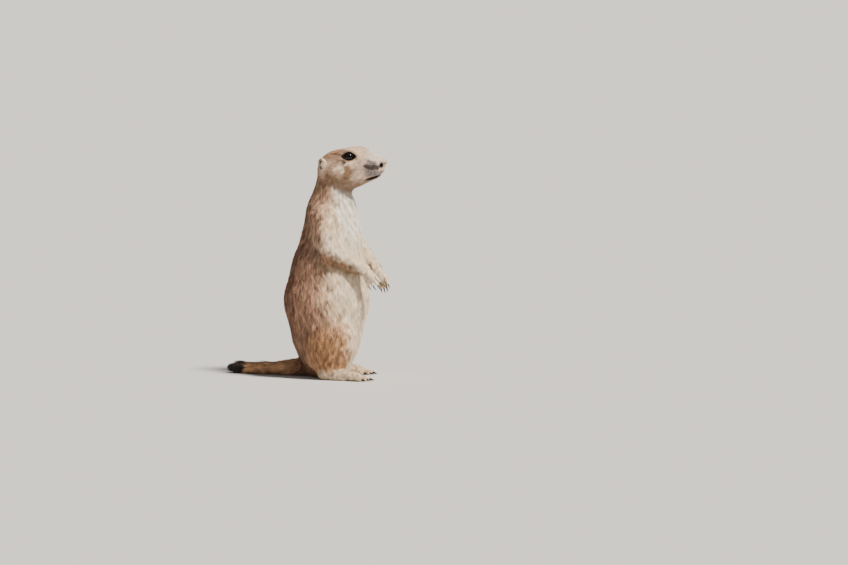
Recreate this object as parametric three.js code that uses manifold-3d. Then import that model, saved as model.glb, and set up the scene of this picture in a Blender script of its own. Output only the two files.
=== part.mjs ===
// A prairie dog that sits up on its haunches, life size, as one still model.
// Lengths are in millimetres. +Z is up, the animal faces -Y, and its left side is +X.
// The origin is on the floor, under the middle of the pelvis.
// Every outline runs out to the tips of the coat.

import * as THREE from 'three';
import Module from 'manifold-3d';
import { mergeVertices } from 'three/addons/utils/BufferGeometryUtils.js';

const wasm = await Module();
wasm.setup();

// Driving sizes
const gap = 0.35; // left between pieces that meet
const neckBase = 196; // height of the cut between trunk and neck
const tailTipStart = 99; // from the origin back to where the tail turns black
const headPivot = at(0, 4, 235);
const headTurn = 12; // degrees to the animal's left
const eyeRadius = 6.2;
const floorSlab = 60; // thickness of the block that cuts the flats
const wide = 500; // larger than the animal
const roughnesses = { fur: 0.9, nose: 0.6, eye: 0.1 };

// How softly the forms of each part run together
const blends = { core: 9, head: 8, tail: 5, thigh: 8, foot: 5 };

// Rings and spokes of the surface of each part
const nets = {
  core: [24, 22],
  head: [22, 20],
  tail: [15, 10],
  nose: [6, 10],
  ear: [7, 12],
  earHollow: [5, 9],
  upperArm: [10, 14],
  forearm: [10, 12],
  palm: [7, 10],
  digit: [5, 6],
  claw: [4, 4],
  thigh: [12, 14],
  foot: [9, 12],
};

const colours = {
  back: 0xa9835c,
  cream: 0xd9c6a4,
  haunch: 0xb98a58,
  tailTip: 0x2a211c,
  eye: 0x0d0a08,
  nose: 0x3a2f2b,
  ear: 0xc9ae8a,
  foot: 0xd0b088,
};

// A point given as millimetres to the animal's left, forward and up
function at(left, forward, up) {
  return new THREE.Vector3(left, -forward, up);
}

// Trunk and neck as balls on the backbone: forward, up, radius
const backbone = [
  [-3, 25, 31],
  [-4, 52, 39],
  [-4, 88, 47.5],
  [-1, 122, 42],
  [2.6, 160, 33.4],
  [2.2, 188, 27.8],
  [3, 203, 21.7],
  [4, 216, 18.2],
  [5, 236, 18.5],
];

// Balls along the tail: left, forward, up, radius
const tailBalls = [
  [0, -32, 12, 12],
  [0, -56, 8, 8.5],
  [2, -80, 7, 7.5],
  [4, -112, 6.5, 7.5],
  [5, -124, 6, 5],
];

// Joints of each foreleg: left, forward, up
const forelegs = {
  right: {
    shoulder: at(-26, 3, 184),
    elbow: at(-38, 13, 144),
    wrist: at(-20, 49.5, 125.5),
    knuckles: at(-18, 56, 118),
    fingertips: at(-14, 60.5, 108),
  },
  left: {
    shoulder: at(26, 2, 184),
    elbow: at(37, 16, 157),
    wrist: at(21, 51, 121),
    knuckles: at(17.5, 58, 113),
    fingertips: at(12, 63, 103.5),
  },
};
const upperArmRadii = [16.5, 10.5]; // shoulder, elbow
const forearmRadii = [9.5, 7.2]; // elbow, wrist
const palmRadii = [6.4, 5.4]; // wrist, knuckles
const handBack = [0.9, 0.43]; // outward and forward: the way the back of each hand faces
const fingers = { across: 3.9, rootSpread: 0.75, tipSpread: 1.15, radius: 2.1, tipRadius: 1.6 };
const fingerSetback = [4.5, 1.8, 0, 1.2]; // from the outer finger to the inner one
const fingerRoot = 3; // from the knuckles back into the palm
const fingerClaw = { length: 8.5, droop: 1, radius: 1.3 };

// Each hind leg: the thigh as an egg, the knee, and the heel that the foot starts from
const hindLegs = {
  right: { thigh: at(-31, 9, 41), thighRadii: [19, 31, 36], knee: at(-35, 22, 46), heel: at(-38, 8, 8) },
  left: { thigh: at(30, -5, 41), thighRadii: [19, 29, 35], knee: at(34, 1, 44), heel: at(37, -16, 8) },
};
const shinRadii = [14, 9]; // knee, ankle
const ankleFromHeel = at(0, 5, 4);
const thighSpine = [24, 60]; // heights that each thigh is wrapped from
const foot = { heelRadius: 8.5, ballForward: 36, ballUp: 5, ballRadius: 5.6 };
const sole = { share: 0.6, up: 5, radii: [9.5, 24, 7] }; // an egg between heel and ball
const toes = { across: 4.2, rootSpread: 0.9, tipSpread: 1.2, radius: 2.7, tipRadius: 2.1, length: 16.5 };
const toeRoot = { back: 3, down: 1.5 }; // from the ball of the foot
const toeTipDown = 2.6;
const toeSetback = [7, 1.5, 0, 1.5, 6]; // from the inner toe to the outer one
const toeClaw = { length: 7.5, droop: 1.6, radius: 1.5 };
const clawTipRadius = 0.45;

// Distance to a bone with a ball at each end; negative inside
function bone(a, b, radiusA, radiusB) {
  const axis = b.clone().sub(a);
  const length2 = axis.lengthSq();
  const taper = radiusA - radiusB;
  const flank2 = Math.max(length2 - taper * taper, 1e-6);
  return (x, y, z) => {
    const px = x - a.x;
    const py = y - a.y;
    const pz = z - a.z;
    const along = px * axis.x + py * axis.y + pz * axis.z;
    const past = along - length2;
    const qx = px * length2 - axis.x * along;
    const qy = py * length2 - axis.y * along;
    const qz = pz * length2 - axis.z * along;
    const off2 = qx * qx + qy * qy + qz * qz;
    const slant = Math.sign(taper) * taper * taper * off2;
    if (Math.sign(past) * flank2 * past * past * length2 > slant) {
      return Math.sqrt(off2 + past * past * length2) / length2 - radiusB;
    }
    if (Math.sign(along) * flank2 * along * along * length2 < slant) {
      return Math.sqrt(off2 + along * along * length2) / length2 - radiusA;
    }
    return (Math.sqrt(off2 * flank2 / length2) + along * taper) / length2 - radiusA;
  };
}

// Distance to an egg with half sizes to the left, forward and up, optionally turned
function egg(centre, [left, forward, up], turn = new THREE.Euler()) {
  const back = new THREE.Matrix4().makeRotationFromEuler(turn).invert();
  const point = new THREE.Vector3();
  return (x, y, z) => {
    point.set(x, y, z).sub(centre).applyMatrix4(back);
    const a = Math.hypot(point.x / left, point.y / forward, point.z / up);
    const b = Math.hypot(point.x / left ** 2, point.y / forward ** 2, point.z / up ** 2);
    return a * (a - 1) / Math.max(b, 1e-9);
  };
}

// Several shapes run together, with fillets about a quarter of blend deep
function together(shapes, blend) {
  return (x, y, z) => {
    let nearest = shapes[0](x, y, z);
    for (const shape of shapes.slice(1)) {
      const other = shape(x, y, z);
      const overlap = Math.max(blend - Math.abs(nearest - other), 0) / blend;
      nearest = Math.min(nearest, other) - overlap * overlap * blend / 4;
    }
    return nearest;
  };
}

function mirrored(shape) {
  return (x, y, z) => shape(Math.abs(x), y, z);
}

function grown(shape) {
  return (x, y, z) => shape(x, y, z) - gap;
}

function chain(balls) {
  return balls.slice(1).map((ball, i) => bone(balls[i].at, ball.at, balls[i].radius, ball.radius));
}

// Distance from a point inside a shape out to its surface
function reach(shape, origin, direction) {
  const point = new THREE.Vector3();
  const value = (t) => shape(...point.copy(origin).addScaledVector(direction, t));
  let inside = 0;
  let outside = 0.5;
  while (value(outside) < 0) {
    inside = outside;
    outside += 0.5;
  }
  for (let step = 0; step < 24; step += 1) {
    const middle = (inside + outside) / 2;
    if (value(middle) < 0) inside = middle;
    else outside = middle;
  }
  return outside;
}

// A closed surface of rings and spokes, pushed out from a spine onto a shape.
// The spokes lean from straight back at the first ring to straight on at the last.
function wrap(shape, spine, [rings, spokes]) {
  const curve = new THREE.CatmullRomCurve3(spine);
  const frames = curve.computeFrenetFrames(rings, false);
  const positions = [];
  const triangles = [];
  const push = (i, angle) => {
    const lean = Math.PI * i / rings;
    const direction = new THREE.Vector3()
      .addScaledVector(frames.normals[i], Math.cos(angle) * Math.sin(lean))
      .addScaledVector(frames.binormals[i], Math.sin(angle) * Math.sin(lean))
      .addScaledVector(frames.tangents[i], -Math.cos(lean));
    const origin = curve.getPointAt(i / rings);
    positions.push(...origin.addScaledVector(direction, reach(shape, origin, direction)).toArray());
  };
  push(0, 0);
  for (let i = 1; i < rings; i += 1) {
    for (let j = 0; j < spokes; j += 1) push(i, 2 * Math.PI * j / spokes);
  }
  push(rings, 0);
  const last = positions.length / 3 - 1;
  const corner = (i, j) => 1 + (i - 1) * spokes + j % spokes;
  for (let j = 0; j < spokes; j += 1) {
    triangles.push(0, corner(1, j + 1), corner(1, j));
    for (let i = 1; i < rings - 1; i += 1) {
      triangles.push(corner(i, j), corner(i, j + 1), corner(i + 1, j + 1));
      triangles.push(corner(i, j), corner(i + 1, j + 1), corner(i + 1, j));
    }
    triangles.push(last, corner(rings - 1, j), corner(rings - 1, j + 1));
  }
  const geometry = new THREE.BufferGeometry();
  geometry.setAttribute('position', new THREE.Float32BufferAttribute(positions, 3));
  geometry.setIndex(triangles);
  return geometry;
}

function solid(geometry) {
  const bare = geometry.clone();
  bare.deleteAttribute('normal');
  bare.deleteAttribute('uv');
  const joined = mergeVertices(bare);
  return new wasm.Manifold(new wasm.Mesh({
    numProp: 3,
    vertProperties: new Float32Array(joined.getAttribute('position').array),
    triVerts: new Uint32Array(joined.getIndex().array),
  }));
}

// The largest body left of a solid once its neighbours are cut from it
function cut(piece, cutters) {
  const rest = cutters.reduce((left, cutter) => left.subtract(cutter), piece);
  return rest.decompose().sort((a, b) => b.volume() - a.volume())[0];
}

function block(lowZ, highZ) {
  const box = new THREE.BoxGeometry(wide, wide, highZ - lowZ);
  return solid(box.translate(0, 0, (lowZ + highZ) / 2));
}

function slabAcross(lowY, highY) {
  const box = new THREE.BoxGeometry(wide, highY - lowY, wide);
  return solid(box.translate(0, (lowY + highY) / 2, 0));
}

const animal = new THREE.Group();

function add(name, piece, colour, roughness = roughnesses.fur) {
  const mesh = piece.getMesh();
  const geometry = new THREE.BufferGeometry();
  geometry.setAttribute('position', new THREE.BufferAttribute(mesh.vertProperties, 3));
  geometry.setIndex(new THREE.BufferAttribute(mesh.triVerts, 1));
  const material = new THREE.MeshStandardMaterial({ color: colour, roughness, metalness: 0 });
  const node = new THREE.Mesh(geometry, material);
  node.name = name;
  animal.add(node);
}

// A piece as it is, and the same piece grown by the gap to cut its neighbours with
function pair(shape, spine, net, place = new THREE.Matrix4()) {
  const make = (each) => solid(wrap(each, spine, net).applyMatrix4(place));
  return { piece: make(shape), cutter: make(grown(shape)) };
}

const floor = block(-floorSlab, 0);

// Trunk and neck
function makeCore() {
  const balls = backbone.map(([forward, up, radius]) => ({ at: at(0, forward, up), radius }));
  const shape = together(chain(balls), blends.core);
  return pair(shape, balls.map((ball) => ball.at), nets.core);
}

// Head, in a frame of its own that starts at the pivot in the neck
function headShape() {
  return together([
    egg(at(0, 11, 7.5), [24, 24, 19.8]),
    egg(at(0, 3, 4), [22.5, 16, 18.5]),
    mirrored(egg(at(10, 18, -1), [14, 20, 15.5])),
    mirrored(egg(at(8.5, 19.5, 16.5), [9.5, 13, 10.5])),
    mirrored(egg(at(5, 47.5, 4), [5.6, 8, 6])),
    egg(at(0, 24, 11.5), [17, 18, 16.6]),
    egg(at(0, 31.5, 17.5), [10, 9.5, 12.2]),
    egg(at(0, 51, 3.6), [6.2, 7.2, 5.6]),
    bone(at(0, 28, 7), at(0, 47, 7.5), 17.5, 9.2),
    bone(at(0, 30, 15.5), at(0, 53, 13.6), 12, 6),
    bone(at(0, 16, -5), at(0, 43.5, -1.5), 14.5, 6.8),
    bone(at(0, 53, 13), at(0, 54.8, 13), 6, 4.5),
  ], blends.head);
}

const headPlace = new THREE.Matrix4()
  .makeRotationZ(THREE.MathUtils.degToRad(headTurn))
  .setPosition(headPivot);
const headSpine = [at(0, -4, 6), at(0, 22, 8), at(0, 50, 9)];
const eyeAt = at(14.6, 20.6, 19.2);
const eyeNet = [12, 7];
const earAt = at(17.5, -9.2, 9.6);
const earTurn = 38; // degrees that the ear's opening is turned back from straight out
const earLean = 12;
const earRadii = [3.2, 6.2, 8.8];
const earHollow = { outward: 3.4, radii: [3, 4, 6.2] };
const noseAt = at(0, 59.4, 13);
const noseRadii = [4.6, 3.2, 3.8];

function makeEye(side) {
  const centre = at(side * eyeAt.x, -eyeAt.y, eyeAt.z);
  const sphere = (radius) => {
    const ball = new THREE.SphereGeometry(radius, ...eyeNet).translate(centre.x, centre.y, centre.z);
    return solid(ball.applyMatrix4(headPlace));
  };
  return { piece: sphere(eyeRadius), cutter: sphere(eyeRadius + gap) };
}

// Two points on either side of a middle, which a small egg is wrapped from
function shortSpine(middle, direction) {
  const half = 0.4;
  return [-half, half].map((step) => middle.clone().addScaledVector(direction, step));
}

// A round ear like a thick leaf, hollowed on its outer face
function makeEar(side) {
  const radians = THREE.MathUtils.degToRad;
  const turn = new THREE.Euler(0, side * radians(earLean), side * radians(earTurn), 'ZYX');
  const centre = at(side * earAt.x, -earAt.y, earAt.z);
  const outward = new THREE.Vector3(side, 0, 0).applyEuler(turn);
  const hollowAt = centre.clone().addScaledVector(outward, earHollow.outward);
  const leaf = wrap(egg(centre, earRadii, turn), shortSpine(centre, outward), nets.ear);
  const hollow = wrap(egg(hollowAt, earHollow.radii, turn), shortSpine(hollowAt, outward), nets.earHollow);
  return solid(leaf.applyMatrix4(headPlace)).subtract(solid(hollow.applyMatrix4(headPlace)));
}

// A thin cone that ends in a small ball, for claws
function claw(from, to, radius) {
  return solid(wrap(bone(from, to, radius, clawTipRadius), [from, to], nets.claw));
}

function digit(from, to, radius, tipRadius) {
  return solid(wrap(bone(from, to, radius, tipRadius), [from, to], nets.digit));
}

function upperArm(joints) {
  const { shoulder, elbow } = joints;
  return pair(bone(shoulder, elbow, ...upperArmRadii), [shoulder, elbow], nets.upperArm);
}

function forearm(joints) {
  const { elbow, wrist } = joints;
  return pair(bone(elbow, wrist, ...forearmRadii), [elbow, wrist], nets.forearm);
}

// The palm, four fingers side by side and their claws
function makeHand(joints, side) {
  const { wrist, knuckles, fingertips } = joints;
  const along = fingertips.clone().sub(wrist).normalize();
  const back = at(side * handBack[0], handBack[1], 0);
  const inward = new THREE.Vector3().crossVectors(along, back).normalize();
  if (inward.x * side > 0) inward.negate();
  let hand = solid(wrap(bone(wrist, knuckles, ...palmRadii), [wrist, knuckles], nets.palm));
  fingerSetback.forEach((setback, i) => {
    const offset = inward.clone().multiplyScalar((i - 1.5) * fingers.across);
    const place = (start, spread, onward) => (
      start.clone().addScaledVector(offset, spread).addScaledVector(along, onward)
    );
    const root = place(knuckles, fingers.rootSpread, -fingerRoot);
    const tip = place(fingertips, fingers.tipSpread, -setback);
    const clawTip = place(tip, 0, fingerClaw.length).add(at(0, 0, -fingerClaw.droop));
    hand = hand.add(digit(root, tip, fingers.radius, fingers.tipRadius));
    hand = hand.add(claw(tip, clawTip, fingerClaw.radius));
  });
  return hand;
}

function thigh(leg) {
  const ankle = leg.heel.clone().add(ankleFromHeel);
  const shape = together([egg(leg.thigh, leg.thighRadii), bone(leg.knee, ankle, ...shinRadii)], blends.thigh);
  return pair(shape, thighSpine.map((height) => leg.thigh.clone().setZ(height)), nets.thigh);
}

// The sole from heel to ball, five toes side by side and their claws
function makeFoot(leg, side) {
  const ball = at(leg.heel.x, -leg.heel.y + foot.ballForward, foot.ballUp);
  const middle = leg.heel.clone().lerp(ball, sole.share).setZ(sole.up);
  const shape = together([
    bone(leg.heel, ball, foot.heelRadius, foot.ballRadius),
    egg(middle, sole.radii),
  ], blends.foot);
  let whole = solid(wrap(shape, [leg.heel, ball], nets.foot));
  toeSetback.forEach((setback, i) => {
    const aside = side * (i - 2) * toes.across;
    const root = ball.clone().add(at(aside * toes.rootSpread, -toeRoot.back, -toeRoot.down));
    const tip = ball.clone().add(at(aside * toes.tipSpread, toes.length - setback, -toeTipDown));
    const clawTip = tip.clone().add(at(0, toeClaw.length, -toeClaw.droop));
    whole = whole.add(digit(root, tip, toes.radius, toes.tipRadius));
    whole = whole.add(claw(tip, clawTip, toeClaw.radius));
  });
  return whole;
}

function makeTail() {
  const balls = tailBalls.map(([left, forward, up, radius]) => ({ at: at(left, forward, up), radius }));
  return solid(wrap(together(chain(balls), blends.tail), balls.map((ball) => ball.at), nets.tail));
}

function build() {
  const core = makeCore();
  const head = pair(headShape(), headSpine, nets.head, headPlace);
  const nose = pair(egg(noseAt, noseRadii), shortSpine(noseAt, at(0, 1, 0)), nets.nose, headPlace);
  const thighs = { right: thigh(hindLegs.right), left: thigh(hindLegs.left) };
  const eyes = { right: makeEye(-1), left: makeEye(1) };

  const aboveNeck = block(neckBase, neckBase + wide);
  const belowNeck = block(-wide, neckBase + gap);
  add('trunk', cut(core.piece, [floor, aboveNeck, thighs.right.cutter, thighs.left.cutter]), colours.back);
  add('neck', cut(core.piece, [belowNeck, head.cutter]), colours.back);
  add('head', cut(head.piece, [nose.cutter, eyes.right.cutter, eyes.left.cutter]), colours.cream);
  add('nose', nose.piece, colours.nose, roughnesses.nose);

  const tail = makeTail();
  const beforeTip = slabAcross(-wide, tailTipStart + gap);
  const afterTip = slabAcross(tailTipStart, wide);
  add('tail', cut(tail, [floor, core.cutter, afterTip]), colours.haunch);
  add('tail_tip', cut(tail, [floor, beforeTip]), colours.tailTip);

  for (const [name, side] of [['right', -1], ['left', 1]]) {
    const upper = upperArm(forelegs[name]);
    const lower = forearm(forelegs[name]);
    const hand = makeHand(forelegs[name], side);
    const footPiece = makeFoot(hindLegs[name], side);
    add(`eye_${name}`, eyes[name].piece, colours.eye, roughnesses.eye);
    add(`ear_${name}`, cut(makeEar(side), [head.cutter]), colours.ear);
    add(`upper_foreleg_${name}`, cut(upper.piece, [core.cutter]), colours.cream);
    add(`forearm_${name}`, cut(lower.piece, [core.cutter, upper.cutter]), colours.cream);
    add(`hand_${name}`, cut(hand, [lower.cutter, core.cutter]), colours.cream);
    add(`thigh_${name}`, cut(thighs[name].piece, [floor]), colours.haunch);
    add(`foot_${name}`, cut(footPiece, [floor, thighs[name].cutter, core.cutter]), colours.foot);
  }
}

build();

export default animal;
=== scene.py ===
"""The looks of a life-size prairie dog that sits up on its haunches.

One fine skin stands for the solids of flesh, and short tufts of coat lie over it.
Eyes, lids, nose, claws and whiskers are pieces of their own.
Shapes are worked out in millimetres in the frame's axes, and meshes are made in metres.
"""

import math

import bpy
import numpy as np
from mathutils import Matrix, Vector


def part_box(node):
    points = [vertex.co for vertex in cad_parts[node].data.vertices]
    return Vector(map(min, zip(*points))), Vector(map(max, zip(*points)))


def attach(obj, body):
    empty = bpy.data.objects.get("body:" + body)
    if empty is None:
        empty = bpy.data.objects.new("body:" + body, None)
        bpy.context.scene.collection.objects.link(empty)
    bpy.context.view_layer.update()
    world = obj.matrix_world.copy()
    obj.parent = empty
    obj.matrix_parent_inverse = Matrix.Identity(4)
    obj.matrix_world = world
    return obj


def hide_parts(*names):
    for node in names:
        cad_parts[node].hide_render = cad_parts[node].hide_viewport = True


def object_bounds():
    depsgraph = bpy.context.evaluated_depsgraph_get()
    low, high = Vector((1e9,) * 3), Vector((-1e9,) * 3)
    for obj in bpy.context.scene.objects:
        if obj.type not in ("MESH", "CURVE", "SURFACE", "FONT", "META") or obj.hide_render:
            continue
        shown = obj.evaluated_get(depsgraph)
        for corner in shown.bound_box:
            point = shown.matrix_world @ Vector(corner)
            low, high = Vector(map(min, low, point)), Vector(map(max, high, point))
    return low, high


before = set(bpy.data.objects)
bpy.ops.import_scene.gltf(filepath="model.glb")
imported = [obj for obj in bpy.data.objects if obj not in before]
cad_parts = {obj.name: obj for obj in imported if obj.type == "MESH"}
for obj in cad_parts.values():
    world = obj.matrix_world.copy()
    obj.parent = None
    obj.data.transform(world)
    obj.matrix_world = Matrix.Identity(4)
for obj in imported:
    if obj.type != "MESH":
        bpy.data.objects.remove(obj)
cad_low, cad_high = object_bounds()

# Metres in a millimetre, and the picture's size with the place of the frame's origin in it
MM = 0.001
FRAME_WIDE, FRAME_HIGH = 848, 565
MM_IN_A_PIXEL = 1.15
ORIGIN_PIXEL = (330.0, 376.5)

# Camera, with its distance in metres and its sensor's width in millimetres
CAMERA_AZIMUTH, CAMERA_ELEVATION = -70.0, 5.0
CAMERA_DISTANCE = 12.0
CAMERA_RANGE = (0.5, 60.0)
SENSOR = 36.0

# Lamps: name, azimuth, elevation, strength, softness in degrees, tint
LAMPS = [
    ("key", -16, 57, 7.4, 10, (1.0, 0.955, 0.89)),
    ("fill", -100, 25, 0.25, 60, (0.90, 0.95, 1.0)),
]
SKY_TINT, SKY_STRENGTH = (0.86, 0.90, 0.96, 1), 0.19
FLOOR_TINT, FLOOR_REACH = (0.62, 0.60, 0.57, 1), 25.0

# Skin: size of a cell, cells along a block, and height of the lowest skin above the floor
SKIN_CELL = 1.0
BLOCK = 8
FLOOR_LIFT = 0.4
LOWEST_TIP = 0.1

# Coat: how many tufts lie over each other, and the hair length from which a tuft has a bend more
COAT_LAYERS = 6.4
LONG_HAIR = 5

# Tufts: spread of their roll and sway, pull of the clumps, depth of the roots under the skin,
# and how far the tips may be moved to keep to the coat's depth
TUFT_ROLL, TUFT_SWAY, CLUMP_PULL, ROOT_DEPTH = 0.35, 0.14, 0.24, 0.25
TIP_SHIFT = (-1.2, 1.6)

# Hair: pull of the broad waves on its lie, spread of its length, and share of brown tufts with dark tips
LIE_PULL, HAIR_SPREAD, DARK_TIPS = 0.6, (0.75, 1.2), 0.25

# Brightness of the tufts: strength of the streaks, what it loses where the coat is pale, and limits
STREAKING, STREAKING_PALE, BRIGHTNESS = 0.30, 0.16, (0.45, 1.5)

# A tuft's patch on its piece's sheet, and the empty edge of a part's strip, as shares of the sheet
PATCH = 0.003
SHEET_EDGE = 0.004

# Degrees that the head is turned
HEAD_TURN = 12.0

rng = np.random.default_rng(12)


def at(left, forward, up):
    """A point in the frame's axes from millimetres to the animal's left, forward and up."""
    return np.array([left, -forward, up], float)


HEAD_PIVOT = at(0, 4, 235)


def unit(v):
    v = np.asarray(v, float)
    return v / np.maximum(np.linalg.norm(v, axis=-1, keepdims=True), 1e-9)


def turn_about(axis, degrees):
    """Rotation matrix about one of the three axes, 0 for X, 1 for Y and 2 for Z."""
    c, s = math.cos(math.radians(degrees)), math.sin(math.radians(degrees))
    i, j = [(1, 2), (2, 0), (0, 1)][axis]
    m = np.eye(3)
    m[i, i] = m[j, j] = c
    m[i, j], m[j, i] = -s, s
    return m


HEAD_AXES = turn_about(2, HEAD_TURN)


def ramp(low, high, x):
    t = np.clip((x - low) / (high - low), 0, 1)
    return t * t * (3 - 2 * t)


def bell(x, half_width):
    return np.exp(-((x / half_width) ** 2))


def smooth_min(a, b, blend):
    overlap = np.maximum(blend - np.abs(a - b), 0) / blend
    return np.minimum(a, b) - overlap * overlap * blend / 4


# Rounded forms. Each knows the depth of coat over it, the length of its hair and the way it lies.
class Bone:
    def __init__(self, a, b, radius_a, radius_b, coat, hair, lie=None):
        self.a, self.b = np.asarray(a, float), np.asarray(b, float)
        self.radii = radius_a, radius_b
        self.coat, self.hair = coat, hair
        self.lie = unit(self.b - self.a) if lie is None else unit(lie)
        self.centre = (self.a + self.b) / 2
        self.size = np.linalg.norm(self.b - self.a) / 2 + max(self.radii)

    def distance(self, p, bare):
        ra, rb = (max(r - self.coat * bare, 0.3) for r in self.radii)
        axis = self.b - self.a
        length2 = axis @ axis
        taper = ra - rb
        flank2 = max(length2 - taper * taper, 1e-6)
        q = p - self.a
        along = q @ axis
        past = along - length2
        off2 = ((q * length2 - along[:, None] * axis) ** 2).sum(1)
        slant = math.copysign(taper * taper, taper) * off2
        out = (np.sqrt(off2 * flank2 / length2) + along * taper) / length2 - ra
        beyond = np.sign(past) * flank2 * past * past * length2 > slant
        out[beyond] = np.sqrt(off2[beyond] + past[beyond] ** 2 * length2) / length2 - rb
        before = ~beyond & (np.sign(along) * flank2 * along * along * length2 < slant)
        out[before] = np.sqrt(off2[before] + along[before] ** 2 * length2) / length2 - ra
        return out


class Egg:
    def __init__(self, centre, radii, coat, hair, lie, turn=None):
        self.centre, self.radii = np.asarray(centre, float), np.asarray(radii, float)
        self.coat, self.hair = coat, hair
        self.lie = unit(lie)
        self.turn = np.eye(3) if turn is None else turn
        self.size = max(self.radii)

    def distance(self, p, bare):
        radii = np.maximum(self.radii - self.coat * bare, 0.3)
        q = (p - self.centre) @ self.turn
        a = np.sqrt(((q / radii) ** 2).sum(1))
        b = np.sqrt(((q / radii**2) ** 2).sum(1))
        return a * (a - 1) / np.maximum(b, 1e-9)


class Part:
    """Forms that run together, in the frame of the body or in one of their own."""

    def __init__(self, name, forms, blend, join, pivot=None, axes=None):
        self.name, self.forms, self.blend, self.join = name, forms, blend, join
        self.pivot = np.zeros(3) if pivot is None else pivot
        self.axes = np.eye(3) if axes is None else axes
        centres = np.array([f.centre for f in forms])
        middle = (centres.min(0) + centres.max(0)) / 2
        self.reach = max(np.linalg.norm(f.centre - middle) + f.size for f in forms)
        self.middle = self.pivot + self.axes @ middle

    def local(self, p):
        return (p - self.pivot) @ self.axes

    def distance(self, p, bare):
        """Distance to the part, and only a lower bound of it far away, where it doesn't matter."""
        out = np.linalg.norm(p - self.middle, axis=1) - self.reach
        close = out < NEAR
        if close.any():
            q = self.local(p[close])
            d = self.forms[0].distance(q, bare)
            for form in self.forms[1:]:
                d = smooth_min(d, form.distance(q, bare), self.blend)
            out[close] = d
        return out


NEAR = 14.0

# Trunk and neck as balls on the backbone: forward, up, radius
BACKBONE = [
    (-3, 25, 31),
    (-4, 52, 39),
    (-4, 88, 47.5),
    (-1, 122, 42),
    (2.6, 160, 33.4),
    (2.2, 188, 27.8),
    (3, 203, 21.7),
    (4, 216, 18.2),
    (5, 236, 18.5),
]

# Balls along the tail: left, forward, up, radius
TAIL = [(0, -32, 12, 12), (0, -56, 8, 8.5), (2, -80, 7, 7.5), (4, -112, 6.5, 7.5), (5, -124, 6, 5)]
TAIL_BLACK_FROM = 99.0
TAIL_THINNING = (104, 128)

FORELEGS = {
    "right": [(-26, 3, 184), (-38, 13, 144), (-20, 49.5, 125.5), (-18, 56, 118), (-14, 60.5, 108)],
    "left": [(26, 2, 184), (37, 16, 157), (21, 51, 121), (17.5, 58, 113), (12, 63, 103.5)],
}
FORELEGS = {name: [at(*point) for point in leg] for name, leg in FORELEGS.items()}
UPPER_ARM_RADII, FOREARM_RADII, PALM_RADII = (16.5, 10.5), (9.5, 7.2), (6.4, 5.4)
HAND_BACK = (0.9, 0.43)
FINGER = {"across": 3.9, "root": 0.75, "spread": 1.15, "radius": 2.1, "tip": 1.6, "claw": 8.5}
FINGER_SETBACK = (4.5, 1.8, 0, 1.2)
CLAW_SHARES = (0.85, 0.97, 1.0, 0.92)

HIND_LEGS = {
    "right": {
        "thigh": at(-31, 9, 41),
        "radii": (19, 31, 36),
        "knee": at(-35, 22, 46),
        "heel": at(-38, 8, 8),
    },
    "left": {
        "thigh": at(30, -5, 41),
        "radii": (19, 29, 35),
        "knee": at(34, 1, 44),
        "heel": at(37, -16, 8),
    },
}
KNEE_RADIUS, ANKLE_RADIUS = 14.0, 9.0
FOOT = {"heel": 8.5, "ball": 5.6, "forward": 36.0, "up": 5.0, "half_width": 9.5}
TOE = {"across": 4.2, "root": 0.9, "spread": 1.2, "radius": 2.7, "tip": 2.1, "length": 16.5, "claw": 7.5}
TOE_SETBACK = (7, 1.5, 0, 1.5, 6)

SIDES = {"right": -1, "left": 1}
DOWN, BACK, FORWARD = at(0, 0, -1), at(0, -1, 0), at(0, 1, 0)


def pairs(row):
    return list(zip(row, row[1:]))


def core_part():
    points = [at(0, forward, up) for forward, up, _ in BACKBONE]
    radii = [radius for _, _, radius in BACKBONE]
    forms = []
    for (a, b), sizes in zip(pairs(points), pairs(radii)):
        low, neck = ramp(150, 60, a[2]), ramp(170, 215, a[2])
        lie = DOWN + FORWARD * 0.22 * low
        forms.append(Bone(a, b, *sizes, 3.2 - 0.9 * neck, 10.5 - 3 * neck, lie))
    return Part("core", forms, 9, 0)


def head_part():
    back, face, cheek = at(0, -1, -0.25), at(0, -1, 0.1), at(0, -1, -0.55)
    forms = [
        Egg(at(0, 11, 7.5), (24, 24, 19.8), 2.0, 5.0, back),
        Egg(at(0, 3, 4), (22.5, 16, 18.5), 2.2, 6.0, back),
        Egg(at(0, 24, 11.5), (17, 18, 16.6), 1.5, 3.6, face),
        Egg(at(0, 31.5, 17.5), (10, 9.5, 12.2), 1.3, 3.0, face),
        Egg(at(0, 51, 3.6), (6.2, 7.2, 5.6), 0.7, 1.6, cheek),
        Bone(at(0, 28, 7), at(0, 47, 7.5), 17.5, 9.2, 1.2, 2.6, face),
        Bone(at(0, 30, 15.5), at(0, 53, 13.6), 12, 6.0, 0.9, 2.2, face),
        Bone(at(0, 16, -5), at(0, 43.5, -1.5), 14.5, 6.8, 1.6, 3.6, cheek),
        Bone(at(0, 53, 13), at(0, 54.8, 13), 6, 4.5, 0.6, 1.3, face),
    ]
    for side in SIDES.values():
        forms.append(Egg(at(side * 10, 18, -1), (14, 20, 15.5), 2.2, 5.5, cheek))
        forms.append(Egg(at(side * 8.5, 19.5, 16.5), (9.5, 13, 10.5), 1.4, 3.2, face))
        forms.append(Egg(at(side * 5, 47.5, 4), (5.6, 8, 6), 0.8, 2.0, face))
    return Part("head", forms, 8, 8, HEAD_PIVOT, HEAD_AXES)


def ear_frame(side):
    """Centre and axes of an ear in the head's frame; its opening faces the first axis."""
    turn = turn_about(2, side * 38) @ turn_about(1, side * 12)
    return at(side * 17.5, -9.2, 9.6), turn


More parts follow.
